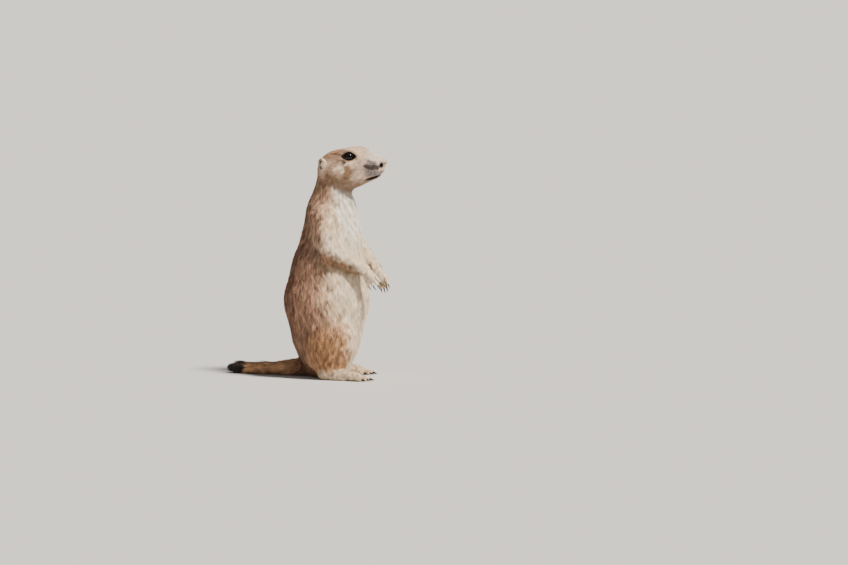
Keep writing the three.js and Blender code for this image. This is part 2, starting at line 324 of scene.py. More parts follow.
def ear_part(name):
    centre, turn = ear_frame(SIDES[name])
    leaf = Egg(centre, (3.2, 6.2, 8.8), 0.5, 1.8, at(0, -0.4, 1), turn)
    return Part(f"ear_{name}", [leaf], 2, 2, HEAD_PIVOT, HEAD_AXES)


def arm_part(name):
    shoulder, elbow, wrist, _, _ = FORELEGS[name]
    forms = [
        Bone(shoulder, elbow, *UPPER_ARM_RADII, 2.6, 7.0),
        Bone(elbow, wrist, *FOREARM_RADII, 1.6, 5.0),
    ]
    return Part(f"arm_{name}", forms, 6, 8)


def hand_axes(name):
    """The way a hand's fingers point, from the outer finger to the inner one, and out of its back."""
    _, _, wrist, _, tips = FORELEGS[name]
    side = SIDES[name]
    along = unit(tips - wrist)
    back = at(side * HAND_BACK[0], HAND_BACK[1], 0)
    inward = unit(np.cross(along, back))
    return along, inward * -np.sign(inward[0] * side), back


def fingers(name):
    """Root, middle and tip of each of the four fingers."""
    _, _, _, knuckles, tips = FORELEGS[name]
    along, inward, back = hand_axes(name)
    found = []
    for i, setback in enumerate(FINGER_SETBACK):
        offset = inward * (i - 1.5) * FINGER["across"]
        root = knuckles + offset * FINGER["root"] - along * 3
        tip = tips + offset * FINGER["spread"] - along * setback
        middle = root * 0.45 + tip * 0.55 + back * 0.9
        found.append((root, middle, tip))
    return found


def digit_bones(digits, size, coat, hair):
    """Two bones for each finger or toe, given by its root, middle and tip."""
    bones = []
    for root, middle, tip in digits:
        bones.append(Bone(root, middle, size["radius"], size["radius"] - 0.2, coat, hair[0]))
        bones.append(Bone(middle, tip, size["radius"] - 0.2, size["tip"], 0.3, hair[1]))
    return bones


def hand_part(name):
    _, _, wrist, knuckles, _ = FORELEGS[name]
    palm = Bone(wrist, knuckles, *PALM_RADII, 0.8, 2.4)
    return Part(f"hand_{name}", [palm] + digit_bones(fingers(name), FINGER, 0.3, (1.2, 1.1)), 1.0, 3)


def thigh_part(name):
    leg = HIND_LEGS[name]
    ankle = leg["heel"] + at(0, 5, 4)
    forms = [
        Egg(leg["thigh"], leg["radii"], 3.0, 9.5, DOWN + FORWARD * 0.12),
        Bone(leg["knee"], ankle, KNEE_RADIUS, ANKLE_RADIUS, 2.4, 7.5),
    ]
    return Part(f"thigh_{name}", forms, 8, 12)


def foot_ball(name):
    return HIND_LEGS[name]["heel"] * (1, 1, 0) + at(0, FOOT["forward"], FOOT["up"])


def toes(name):
    """Root, middle and tip of each of the five toes, from the inner one out."""
    ball = foot_ball(name)
    found = []
    for i, setback in enumerate(TOE_SETBACK):
        aside = SIDES[name] * (i - 2) * TOE["across"]
        root = ball + at(aside * TOE["root"], -3, -1.5)
        tip = ball + at(aside * TOE["spread"], TOE["length"] - setback, -2.6)
        found.append((root, (root + tip) / 2 + at(0, 0, 1.3), tip))
    return found


def foot_part(name):
    heel, ball = HIND_LEGS[name]["heel"], foot_ball(name)
    middle = (heel * 0.4 + ball * 0.6) * (1, 1, 0) + at(0, 0, 5)
    sole = [
        Bone(heel, ball, FOOT["heel"], FOOT["ball"], 0.8, 3.0),
        Egg(middle, (FOOT["half_width"], 24, 7), 0.8, 3.0, FORWARD),
    ]
    return Part(f"foot_{name}", sole + digit_bones(toes(name), TOE, 0.35, (1.5, 1.3)), 1.4, 5)


def tail_part():
    points = [at(left, forward, up) for left, forward, up, _ in TAIL]
    radii = [radius for *_, radius in TAIL]
    forms = [Bone(*ends, *sizes, 3.2, 11.0) for ends, sizes in zip(pairs(points), pairs(radii))]
    return Part("tail", forms, 5, 9)


def all_parts():
    parts = [core_part(), head_part()]
    for name in SIDES:
        parts += [make(name) for make in (thigh_part, arm_part, hand_part, foot_part, ear_part)]
    return parts + [tail_part()]


PARTS = all_parts()
HEAD = PARTS[1]


# Half sizes of the dark almond of eye and lids, and how far its middle lies out from the eyeball's
ALMOND_WIDE, ALMOND_HIGH, ALMOND_OUT = 7.7, 5.1, 3.9


def almond(turn):
    """Half size of the almond in the direction of each angle, measured from straight forward."""
    across, above = np.abs(np.cos(turn)), np.abs(np.sin(turn))
    return 1 / ((across / ALMOND_WIDE) ** 1.45 + (above / ALMOND_HIGH) ** 1.45) ** (1 / 1.45)


eye_low, eye_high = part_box("eye_right")
EYE_RADIUS = max(eye_high - eye_low) / 2 / MM


class Eye:
    """An eyeball's place and size, its directions, and the middle of its almond."""

    def __init__(self, name, side):
        low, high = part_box(f"eye_{name}")
        self.centre = np.array((low + high) / 2) / MM
        self.radius = EYE_RADIUS
        self.outward = unit(HEAD_AXES @ at(side, 0.22, 0.30))
        self.up = unit(np.array([0, 0, 1.0]) - self.outward * self.outward[2])
        forward = np.cross(self.up, self.outward)
        self.forward = forward * np.sign(forward @ (HEAD_AXES @ FORWARD))
        self.middle = self.centre + self.outward * ALMOND_OUT + self.up * 0.3 - self.forward * 0.3

    def nearness(self, p):
        """Distance from the middle in almonds, and the outward radial direction, at the points p."""
        q = p - self.middle
        along, above = q @ self.forward, q @ self.up
        reach = np.hypot(along, above) / almond(np.arctan2(above, along))
        reach = np.where(np.abs(q @ self.outward) < 9, reach, 9.0)
        return reach, unit(along[:, None] * self.forward + above[:, None] * self.up)

    def spokes(self, number):
        """Angles round the eye from straight forward, and the direction of each."""
        turn = np.arange(number) * 2 * np.pi / number
        return turn, self.forward * np.cos(turn)[:, None] + self.up * np.sin(turn)[:, None]


EYES = {name: Eye(name, side) for name, side in SIDES.items()}


def mouth_height(forward):
    """Height of the mouth's slit in the head's frame, by how far forward it is."""
    return -6.6 + 0.34 * np.maximum(forward - 38, 0)


# Nostrils: place in the head's frame, half sizes, and degrees that they lean
NOSTRIL_AT, NOSTRIL_RADII, NOSTRIL_LEAN = at(7.0, 57.1, 9.6), (2.8, 2.3, 2.9), 28
NOSE_PAD = Egg(at(0, 59.4, 13), (4.6, 3.2, 3.8), 0, 0, DOWN)
EAR_HOLLOW_OUT, EAR_HOLLOW_RADII = 3.2, (3.4, 4.3, 6.8)


def bare_nose(q):
    """Distance to the bare skin of pad and nostrils, for points in the head's frame."""
    folded = np.abs(q) * (1, 0, 0) + q * (0, 1, 1)
    wing = Bone(at(2.5, 58.2, 12.4), at(6.6, 56.9, 9.9), 2.9, 3.3, 0, 0)
    return np.minimum(wing.distance(folded, 0), NOSE_PAD.distance(q, 0) - 0.3)


def nostril(side):
    return Egg(NOSTRIL_AT * (side, 1, 1), NOSTRIL_RADII, 0, 0, DOWN, turn_about(0, NOSTRIL_LEAN))


def ear_hollow(side):
    centre, turn = ear_frame(side)
    return Egg(centre + turn[:, 0] * side * EAR_HOLLOW_OUT, EAR_HOLLOW_RADII, 0, 0, DOWN, turn)


def carve(p, d):
    """Sockets, nostrils, ear hollows and the mouth's line, cut into the distance d of the points p."""
    for eye in EYES.values():
        socket = eye.radius + 0.2 - np.linalg.norm(p - eye.centre, axis=1)
        d = -smooth_min(-d, -socket, 0.8)
    close = np.linalg.norm(p - HEAD.middle, axis=1) < HEAD.reach + 4
    if close.any():
        q = HEAD.local(p[close])
        e = d[close]
        for side in SIDES.values():
            e = -smooth_min(-e, ear_hollow(side).distance(q, 0), 1.2)
            e = -smooth_min(-e, nostril(side).distance(q, 0), 0.8)
        forward = -q[:, 1]
        slit = bell(q[:, 2] - mouth_height(forward), 0.7)
        e = e + 1.5 * slit * ramp(36, 40, forward)
        under_nose = bell(q[:, 0], 0.8) * ramp(50, 55, forward)
        e = e + 0.8 * under_nose * ramp(11, 8, q[:, 2]) * ramp(0, 2, q[:, 2])
        d[close] = e
    return d


def body(p, bare=1.0):
    """Distance from the points p to the skin, or to the coat's outline where bare is 0."""
    total = PARTS[0].distance(p, bare)
    for part in PARTS[1:]:
        total = smooth_min(total, part.distance(p, bare), part.join)
    if bare:
        total = carve(p, total)
    return np.maximum(total, FLOOR_LIFT - p[:, 2])


def slopes(p, step=0.1):
    """Outward direction of the skin's distance at the points p."""
    out = np.empty_like(p)
    for axis in range(3):
        shift = np.zeros(3)
        shift[axis] = step
        out[:, axis] = body(p + shift) - body(p - shift)
    return unit(out)


def grid_values(low, high, cell):
    """The distance on a grid, exact in the blocks that the surface may cross."""
    blocks = np.ceil((high - low) / (cell * BLOCK)).astype(int)
    corners = np.stack(np.meshgrid(*[np.arange(n) for n in blocks], indexing="ij"), -1).reshape(-1, 3)
    centre = body(low + (corners + 0.5) * BLOCK * cell)
    values = np.ones(blocks * BLOCK + 1, np.float32)
    coarse = np.where(centre < 0, -1, 1).reshape(blocks)
    for axis in range(3):
        coarse = np.repeat(coarse, BLOCK, axis)
    values[:-1, :-1, :-1] = coarse
    active = corners[np.abs(centre) < BLOCK * cell * 0.87 + 4]
    steps = np.stack(np.meshgrid(*[np.arange(BLOCK + 1)] * 3, indexing="ij"), -1).reshape(-1, 3)
    for start in range(0, len(active), 300):
        ids = (active[start:start + 300, None] * BLOCK + steps).reshape(-1, 3)
        values[tuple(ids.T)] = body(low + ids * cell)
    return values


def surface_net(low, high, cell):
    """Points and quads of the skin, one point in each cell that it crosses."""
    values = grid_values(low, high, cell)
    inside = values < 0
    shape = np.array(values.shape)
    count = np.zeros(shape - 1, np.int8)
    corner_steps = [np.array(s) for s in np.ndindex(2, 2, 2)]
    for s in corner_steps:
        count += inside[tuple(slice(k, n - 1 + k) for k, n in zip(s, shape))]
    cells = np.argwhere((count > 0) & (count < 8))
    index = np.full(shape - 1, -1, np.int32)
    index[tuple(cells.T)] = np.arange(len(cells))
    total = np.zeros((len(cells), 3))
    crossings = np.zeros(len(cells))
    for a in corner_steps:
        for b in corner_steps:
            if (b - a).sum() != 1 or (b - a).min() < 0:
                continue
            va, vb = values[tuple((cells + a).T)], values[tuple((cells + b).T)]
            crossed = (va < 0) != (vb < 0)
            share = np.where(crossed, va / np.where(crossed, va - vb, 1), 0)
            total += np.where(crossed[:, None], a + share[:, None] * (b - a), 0)
            crossings += crossed
    points = low + (cells + total / crossings[:, None]) * cell
    quads = []
    for axis in range(3):
        first, second = np.roll(np.eye(3, dtype=int), -axis - 1, 0)[:2]
        ahead = np.eye(3, dtype=int)[axis]
        near = inside[tuple(slice(0, n - k) for k, n in zip(ahead, shape))]
        far = inside[tuple(slice(k, n) for k, n in zip(ahead, shape))]
        for leaving in (True, False):
            edges = np.argwhere((near & ~far) if leaving else (~near & far))
            around = [edges - first - second, edges - second, edges, edges - first]
            ring = [index[tuple(r.T)] for r in around]
            quads.append(np.stack(ring if leaving else ring[::-1], 1))
    return points, np.concatenate(quads)


def settle(p):
    """The points p moved onto the skin."""
    return p - slopes(p) * np.clip(body(p), -0.5, 0.5)[:, None]


# Slow random waves, used for markings and for clumps of hair
class Waves:
    def __init__(self, size, number=14):
        direction = unit(rng.normal(size=(number, 3)))
        self.k = direction * (2 * np.pi / (size * rng.uniform(0.6, 1.6, (number, 1))))
        self.phase = rng.uniform(0, 2 * np.pi, number)
        self.scale = math.sqrt(2 / number)

    def value(self, p):
        return np.sin(p @ self.k.T + self.phase).sum(1) * self.scale

    def slope(self, p):
        return (np.cos(p @ self.k.T + self.phase) @ self.k) * self.scale


BROAD, MIDDLE, FINE, WARP_A, WARP_B = Waves(28), Waves(9), Waves(3.2), Waves(6), Waves(6)


def colour(red, green, blue):
    """Linear colour from the 0 to 255 numbers of a picture."""
    c = np.array([red, green, blue]) / 255
    return np.where(c <= 0.04045, c / 12.92, ((c + 0.055) / 1.055) ** 2.4)


# Colours of the coat and of the bare skin
# Black, mixed in only as painted shade in the creases of thighs and arms
BLACK = np.zeros(3)
BACK_BROWN = colour(146, 102, 76)
FLANK = colour(186, 142, 114)
TAN = colour(226, 194, 158)
HAUNCH = colour(186, 138, 96)
CREAM = colour(238, 220, 192)
CHEST = colour(246, 236, 220)
# Tawny side of the neck, darkened with painted shadow of the head under the jaw
NECK_TAWNY_AND_SHADOW = colour(170, 132, 102)
CROWN = colour(158, 122, 94)
CROWN_ORANGE = colour(196, 148, 104)
FOREHEAD = colour(236, 206, 174)
FACE = colour(230, 202, 176)
CHEEK = colour(204, 170, 140)
CHEEK_PATCH = colour(124, 82, 44)
PALE_TUFT = colour(248, 228, 196)
MUZZLE = colour(240, 224, 204)
WHISKER_PAD = colour(74, 62, 62)
LILAC = colour(180, 164, 162)
# Pale fur over the lips, greyed with painted shade of the muzzle's lower side
LIP_BAND_AND_SHADE = colour(156, 150, 152)
# Brown of the jaw's underside, mostly painted shade under the head
JAW_BROWN_AND_SHADE = colour(146, 114, 88)
LIP = colour(40, 34, 32)
# Orange-brown underside of the forearm, deepened with painted shade under the arm
ARM_UNDERSIDE_AND_SHADE = colour(140, 98, 58)
FOOT_BUFF = colour(228, 206, 174)
TAIL_BUFF = colour(204, 156, 114)
TAIL_BLACK = colour(34, 27, 23)
EAR_RIM = colour(240, 220, 192)
EAR_INSIDE = colour(40, 30, 27)
# Dark brown of the face's streaks, and of the painted shadow line under the brow
STREAK = colour(84, 58, 42)
EYE_RIM = colour(24, 18, 16)
NOSTRIL = colour(12, 9, 8)
# Nose pad's tone, made paler with painted light on its front
NOSE_PAD_LIT = colour(192, 166, 146)
PUPIL, IRIS, IRIS_EDGE = colour(8, 6, 5), colour(19, 13, 9), colour(13, 10, 8)
CLAW_TONE, CLAW_TIP, WHISKER_TONE = colour(28, 23, 21), colour(92, 78, 66), colour(44, 36, 32)


def mix(base, new, amount):
    amount = np.clip(amount, 0, 1)[:, None]
    return base * (1 - amount) + new * amount


def painted(tone, layers):
    """The tone, with layers of colour mixed over it one after the other by their amounts."""
    for tint, amount in layers:
        tone = mix(tone, tint, amount)
    return tone


def near_point(p, centre, radii):
    """From 1 at a point to 0 outside an egg of the given radii around it."""
    d = np.sqrt((((p - centre) / np.asarray(radii, float)) ** 2).sum(1))
    return ramp(1.25, 0.6, d)


def near_line(p, a, b, radius_a, radius_b):
    d = Bone(a, b, radius_a, radius_b, 0, 0).distance(p, 0)
    return ramp(0.7, -0.7, d)


def part_shares(p):
    """How much each part owns each point, as one row for each point."""
    d = np.stack([part.distance(p, 1) for part in PARTS], 1)
    w = np.exp(-(d - d.min(1, keepdims=True)) / 2.0)
    return w / w.sum(1, keepdims=True)


def named_shares(shares):
    """Each part's share of the points by its name, with the head and the ears together as skull."""
    own = {part.name: shares[:, i] for i, part in enumerate(PARTS)}
    own["skull"] = own["head"] + own["ear_right"] + own["ear_left"]
    return own


# Where the belly's pale fur starts on the way round from the spine at 0 to the breast bone at 1
BELLY_HEIGHTS = [0, 60, 110, 160, 200, 240]
BELLY_EDGE = [0.66, 0.68, 0.64, 0.60, 0.62, 0.66]


def markings(p, shares):
    """Colour of the coat at the points p."""
    own = named_shares(shares)
    x, forward, up = p[:, 0], -p[:, 1], p[:, 2]
    ragged = MIDDLE.value(p) * 2.2 + FINE.value(p) * 1.2
    around = np.arctan2(np.abs(x), -(forward + 1)) / np.pi + ragged * 0.016
    belly = around - np.interp(up, BELLY_HEIGHTS, BELLY_EDGE)
    throat = ramp(0.84, 0.64, around) * ramp(0.25, 0.4, around)
    haunch = own["thigh_right"] + own["thigh_left"]
    haunch = np.maximum(haunch, ramp(70, 35, up) * ramp(0.75, 0.5, around) * own["core"])
    out = painted(BACK_BROWN, [
        (FLANK, ramp(0.16, 0.40, around)),
        (TAN, ramp(-0.17, -0.02, belly)),
        (CREAM, ramp(-0.06, 0.08, belly)),
        (CHEST, ramp(0.0, 0.14, belly) * ramp(150, 185, up)),
        # Side of the neck under the jaw: tawny fur with painted shadow of the head
        (NECK_TAWNY_AND_SHADOW, throat * ramp(196, 214, up + ragged * 2) * 0.9),
        (HAUNCH, haunch * ramp(-34, 6, forward + ragged) * 0.95),
    ])
    for name in SIDES:
        knee = HIND_LEGS[name]["knee"]
        _, elbow, wrist, _, _ = FORELEGS[name]
        past_knee = forward + knee[1] + ragged * 1.3 + 0.22 * (up - 40)
        thigh, arm = own[f"thigh_{name}"], own[f"arm_{name}"] + own[f"hand_{name}"]
        forearm = [-elbow[1], -wrist[1]]
        line = np.interp(forward, forearm, [elbow[2], wrist[2]])
        height = np.interp(forward, forearm, [13, 3])
        # Where the forearm's brown underside and the painted shade under it lie, thickest at the elbow
        below = ramp(height, height - 13, up - line + ragged * 0.6)
        below = below * ramp(-wrist[1] + 2, -wrist[1] - 10, forward)
        behind = forward - np.interp(up, [elbow[2], 190], [-elbow[1], 2]) + ragged
        out = painted(out, [
            (TAN, thigh * ramp(8, 15, past_knee) * 0.9),
            (CREAM, thigh * ramp(13, 19, past_knee)),
            # Painted shade in the crease behind the thigh, where it meets the trunk
            (BLACK, 4 * thigh * own["core"] * ramp(10, -12, forward + ragged) * 0.30),
            (FOOT_BUFF, own[f"foot_{name}"]),
            # Painted shade in the crease under the arm, where it meets the trunk
            (BLACK, 4 * arm * own["core"] * ramp(166, 150, up + ragged) * 0.40),
            (TAN, arm * ramp(198, 178, up + ragged) * 0.8),
            (CREAM, arm * ramp(186, 160, up + ragged)),
            # The forearm's underside: its own brown with painted shade
            (ARM_UNDERSIDE_AND_SHADE, arm * below * 0.9),
            (FLANK, own[f"arm_{name}"] * ramp(5, -9, behind) * 0.85),
        ])
    black_end = ramp(-TAIL_BLACK_FROM + 5, -TAIL_BLACK_FROM - 4, forward + ragged * 1.4)
    out = painted(out, [(TAIL_BUFF, own["tail"] * ramp(-28, -44, forward)), (TAIL_BLACK, black_end)])
    return head_markings(p, own, out)


def stroke(forward, up, line):
    """A painted line seen from the side, as forward, up and half width at each of its points."""
    shade = np.zeros(len(forward))
    for (fa, ua, wa), (fb, ub, wb) in pairs(line):
        df, du = fb - fa, ub - ua
        t = np.clip(((forward - fa) * df + (up - ua) * du) / (df * df + du * du), 0, 1)
        away = np.hypot(forward - fa - t * df, up - ua - t * du)
        width = wa + (wb - wa) * t
        shade = np.maximum(shade, ramp(width + 0.5, width - 0.4, away))
    return shade


# Streaks of the face from the side: forward, up and half width at each point
# The first is a painted shadow line under the brow, from the eye's rear corner back
BROW_SHADOW_LINE = [(13.4, 20.6, 0.7), (9, 22.2, 0.7), (1, 22.6, 0.5), (-8, 19.5, 0.4)]
TEAR_STREAK = [(28, 18.2, 0.7), (31, 17.0, 0.3)]
UNDER_EYE = [(11.5, 17.6, 0.5), (16, 14.6, 1.1), (19, 13.4, 0.5)]
PALE_CRESCENT = [(20, 12.4, 0.8), (25, 12.6, 1.1), (30, 15.4, 0.9)]
CHEEK_STRIPE = [(9, 6.5, 1.6), (13, 9.0, 2.0), (17.5, 8.4, 1.4)]
CHEEK_BROWN = [(19, 9.5, 1.6), (23, 4.5, 3.4), (21.5, -2.0, 3.0)]
PAD_STREAK = [(39, 9.4, 0.8), (43, 8.4, 2.4), (48, 7.4, 3.3), (53.5, 6.8, 2.1)]

# Roots of the whiskers from the side: forward and up, in rows that run back from the nose
WHISKER_GRID = [(row, place) for row in range(4) for place in range(4)]
WHISKER_ROOTS = [(52.5 - 3.2 * place - 0.8 * row, 9.0 - 2.2 * row) for row, place in WHISKER_GRID]


def head_markings(p, own, out):
    """The coat's colours out, with those of the head and the ears over them."""
    q = HEAD.local(p)
    ruffled = q + np.stack([w.value(p) for w in (WARP_A, WARP_A, WARP_B)], 1) * 0.75
    side, forward, up = np.abs(q[:, 0]), -ruffled[:, 1], ruffled[:, 2]
    folded = np.stack([side, -forward, up], 1)
    beside, muzzle = ramp(7, 12, side), ramp(4, 8, side)

    def spot(place, *radii):
        return near_point(folded, at(*place), radii)

    def streak(line):
        return stroke(forward, up, line)

    near_eye = np.minimum(*[eye.nearness(p)[0] for eye in EYES.values()])
    low = q[:, 2] - mouth_height(-q[:, 1])
    # Dark lips below the mouth's slit: their own dark skin, widened towards the sides with painted shade
    # of the lower lip
    lip = 0.6 + 2.7 * ramp(2.5, 6.0, side) * ramp(38, 50, forward)
    lips = ramp(0.8, 0.2, low) * ramp(-lip - 0.5, -lip + 0.3, low)
    under_nose = bell(q[:, 0], 0.6) * ramp(54, 56, forward) * ramp(-1, 1, low)
    roots = [np.hypot(forward - ahead, up - high) for ahead, high in WHISKER_ROOTS]
    tone = painted(CROWN, [
        (CROWN_ORANGE, spot((8, 2, 24), 9, 14, 7) * 0.6),
        (CHEEK, ramp(19, 11, up + forward * 0.1)),
        (FACE, ramp(6, 36, forward + 0.25 * (12 - up)) * 0.9),
        (FOREHEAD, spot((4, 34, 27), 14, 20, 12) * 0.9),
        (CHEEK, bell(q[:, 0], 4.5) * ramp(12, 18, up) * ramp(50, 36, forward) * 0.5),
        (MUZZLE, ramp(36, 48, forward) * ramp(4, 12, up)),
        # Painted shade under the head: the jaw's underside darker towards the bottom
        (JAW_BROWN_AND_SHADE, ramp(3, -8, up + 0.10 * forward) * 0.8),
        (CHEEK_PATCH, spot((21, 4, -3), 10, 9, 6) * 0.4),
        (CHEEK_PATCH, spot((20, 22, 2), 9, 7, 9) * 0.35),
        (CHEEK_PATCH, streak(CHEEK_BROWN) * beside * 0.7),
        (CHEEK_PATCH, spot((20, 29, 5), 9, 4, 4) * 0.3),
        (PALE_TUFT, streak(CHEEK_STRIPE) * beside * 0.9),
        (PALE_TUFT, spot((21, 17, 4), 8, 2.6, 3.6) * 0.9),
        (LILAC, spot((10, 47, 11), 9, 9, 4) * 0.5),
        (WHISKER_PAD, spot((10, 45.5, 9.5), 9, 9, 6) * muzzle * 0.55),
        (WHISKER_PAD, streak(PAD_STREAK) * muzzle * 0.9),
        *[(WHISKER_PAD, ramp(0.8, 0.3, away) * beside * 0.8) for away in roots],
        # Band above the mouth: pale fur greyed with painted shade
        (LIP_BAND_AND_SHADE, spot((8, 49, 1.2), 10, 11, 3.2) * 0.8),
        (CREAM, streak(PALE_CRESCENT) * beside * 0.7),
        # Painted shadow under the brow, behind the eye
        (STREAK, streak(BROW_SHADOW_LINE) * beside * 0.9),
        (STREAK, streak(UNDER_EYE) * beside * 0.75),
        (STREAK, streak(TEAR_STREAK) * beside * 0.7),
        (EYE_RIM, ramp(1.20, 1.02, near_eye)),
        # The lips' dark skin, with painted shade on the lower lip
        (LIP, lips * ramp(35, 42, forward)),
        # Bare nose, its skin made paler with painted light
        (NOSE_PAD_LIT, ramp(0.5, 0.0, bare_nose(q))),
        (LIP, under_nose * ramp(11, 9, up) * 0.7),
    ])
    for name, way in SIDES.items():
        centre, turn = ear_frame(way)
        ear, share = (q - centre) @ turn, own[f"ear_{name}"]
        inside = ramp(1.1, 0.8, np.hypot(ear[:, 1] / 4.4, ear[:, 2] / 6.8))
        inside = inside * ramp(0.2, 1.0, ear[:, 0] * way) * ramp(0.3, 0.6, share)
        fold = bell(ear[:, 2] - 0.2, 0.8) + ramp(-3.5, -5.0, ear[:, 2])
        tone = painted(tone, [
            (EAR_RIM, share * 1.2),
            (EAR_INSIDE, inside * (1 - 0.8 * fold)),
            (NOSTRIL, ramp(0.5, 0.0, nostril(way).distance(q, 0))),
        ])
    return mix(out, tone, own["skull"] * ramp(-26, -8, up + 0.6 * forward + 6))


# Meshes and materials
def build_piece(name, points, faces, colours, material, slot, *nodes, uv=None):
    """A piece from points in millimetres, faces of three or four corners, and the points' colours."""
    mesh = bpy.data.meshes.new(name)
    corners = np.concatenate([f.ravel() for f in faces]).astype(np.int32)
    sizes = np.concatenate([np.full(len(f), f.shape[1]) for f in faces])
    starts = np.concatenate([[0], np.cumsum(sizes)[:-1]]).astype(np.int32)
    mesh.vertices.add(len(points))
    mesh.vertices.foreach_set("co", (points * MM).astype(np.float32).ravel())
    mesh.loops.add(len(corners))
    mesh.loops.foreach_set("vertex_index", corners)
    mesh.polygons.add(len(sizes))
    mesh.polygons.foreach_set("loop_start", starts)
    mesh.polygons.foreach_set("use_smooth", np.full(len(sizes), True))
    mesh.update(calc_edges=True)
    mesh.validate()
    rgba = np.ones((len(points), 4), np.float32)
    rgba[:, :3] = colours
    mesh.color_attributes.new("Coat", "FLOAT_COLOR", "POINT").data.foreach_set("color", rgba.ravel())
    if uv is not None:
        mesh.uv_layers.new(name="OFBake").data.foreach_set("uv", uv.astype(np.float32).ravel())
    mesh.materials.append(material)
    piece = bpy.data.objects.new(name, mesh)
    bpy.context.scene.collection.objects.link(piece)
    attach(piece, "root")
    if nodes:
        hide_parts(*nodes)


def new_material(name):
    material = bpy.data.materials.new(name)
    material.use_nodes = True
    return material, material.node_tree.nodes["Principled BSDF"]


def set_sockets(node, **values):
    """Values of a node's sockets, where a low line in a name stands for a space."""
    for name, value in values.items():
        node.inputs[name.replace("_", " ")].default_value = value
    return node


def add_node(material, kind, **values):
    return set_sockets(material.node_tree.nodes.new(kind), **values)


def wire(material, *joins):
    """Links between nodes, each as a node, its output, the next node and its socket."""
    for source, output, target, socket in joins:
        material.node_tree.links.new(source.outputs[output], target.inputs[socket])


def painted_material(name, roughness, bump_size, bump_depth, sheen=0.0, speckle=0.12, shine=0.3):
    """A surface that takes its colour from the painted markings, with fine variation and bump."""
    material, shader = new_material(name)
    set_sockets(shader, Specular_IOR_Level=shine, Sheen_Weight=sheen, Sheen_Roughness=0.5)
    markings_node = add_node(material, "ShaderNodeVertexColor")
    markings_node.layer_name = "Coat"
    place = add_node(material, "ShaderNodeTexCoord")
    noise = add_node(material, "ShaderNodeTexNoise", Scale=1 / (bump_size * MM), Detail=3)
    tint = add_node(material, "ShaderNodeMapRange", To_Min=1 - speckle, To_Max=1 + speckle)
    rough = add_node(material, "ShaderNodeMapRange", To_Min=roughness - 0.08, To_Max=roughness + 0.08)
    bump = add_node(material, "ShaderNodeBump", Distance=bump_depth * MM)
    shade = add_node(material, "ShaderNodeMixRGB", Fac=1)
    shade.blend_type = "MULTIPLY"
    wire(
        material,
        (place, "Object", noise, "Vector"),
        (noise, "Fac", tint, "Value"),
        (noise, "Fac", rough, "Value"),
        (noise, "Fac", bump, "Height"),
        (markings_node, "Color", shade, "Color1"),
        (tint, "Result", shade, "Color2"),
        (shade, "Color", shader, "Base Color"),
        (rough, "Result", shader, "Roughness"),
        (bump, "Normal", shader, "Normal"),
    )
    return material


def wet_material(name):
    """Painted, glossy and wet, for the eyes."""
    material = painted_material(name, 0.12, 2.0, 0.0, speckle=0.05, shine=0.05)
    shader = material.node_tree.nodes["Principled BSDF"]
    set_sockets(shader, Coat_Weight=1.0, Coat_Roughness=0.03, Coat_IOR=1.3)
    return material


COAT_LOOK = painted_material("coat", 0.62, 1.5, 0.05, sheen=0.15)
SKIN_LOOK = painted_material("skin_fur", 0.8, 1.0, 0.35)
HORN_LOOK = painted_material("horn", 0.38, 0.8, 0.04)
LEATHER_LOOK = painted_material("leather", 0.5, 0.35, 0.10)
LID_LOOK = painted_material("eyelid", 0.5, 0.35, 0.05, shine=0.06)
EYE_LOOK = wet_material("eye_wet")


# Unwrap of the skin's own shape: round each part's axis, and along it
def part_axis(part):
    """Start, direction and length of the line that a part is unwrapped around."""
    if part.name == "core":
        return at(0, -2, 0), at(0, 0, 1), 245.0
    if part.name == "head":
        return part.pivot + part.axes @ at(0, -16, 6), part.axes @ FORWARD, 80.0
    if part.name.startswith("ear"):
        return part.middle - part.axes @ at(0, 0, 9), at(0, 0, 1), 18.0
    if part.name == "tail":
        return at(0, -26, 8), unit(at(5, -100, -3)), 104.0
    if part.name.startswith("thigh"):
        return part.middle * (1, 1, 0), at(0, 0, 1), 80.0
    if part.name.startswith("foot"):
        return part.middle - at(0, 42, 0), FORWARD, 84.0
    first, last = (0, 2) if part.name.startswith("arm") else (2, 4)
    points = FORELEGS[part.name.split("_")[1]]
    axis = points[last] - points[first]
    slack = 18.0
    return points[first] - unit(axis) * slack, unit(axis), np.linalg.norm(axis) + 2 * slack


def unwrap(part, p):
    """Place of the points p on the part's own unwrap, each from 0 to 1."""
    start, along, length = part_axis(part)
    seam = unit(np.cross(along, np.cross(BACK if abs(along @ BACK) < 0.7 else DOWN, along)))
    beside = np.cross(along, seam)
    q = p - start
    turn = np.arctan2(q @ beside, -(q @ seam)) / (2 * np.pi) + 0.5
    return np.stack([turn, np.clip(q @ along / length, 0, 1)], 1)


def skin_unwrap(points, quads, owner):
    """Every part's unwrap in a cell of its own on one sheet, for each corner of each quad."""
    across = math.ceil(math.sqrt(len(PARTS)))
    uv = np.zeros((len(quads), 4, 2))
    face_owner = owner[quads[:, 0]]
    for i, part in enumerate(PARTS):
        mine = face_owner == i
        corners = unwrap(part, points[quads[mine]].reshape(-1, 3)).reshape(-1, 4, 2)
        lag = corners[:, :, 0] - corners[:, :1, 0]
        corners[:, :, 0] -= np.round(lag)
        cell = np.array([i % across, i // across])
        uv[mine] = (cell + 0.03 + 0.94 * np.clip(corners, -0.02, 1.02)) / across
    return uv


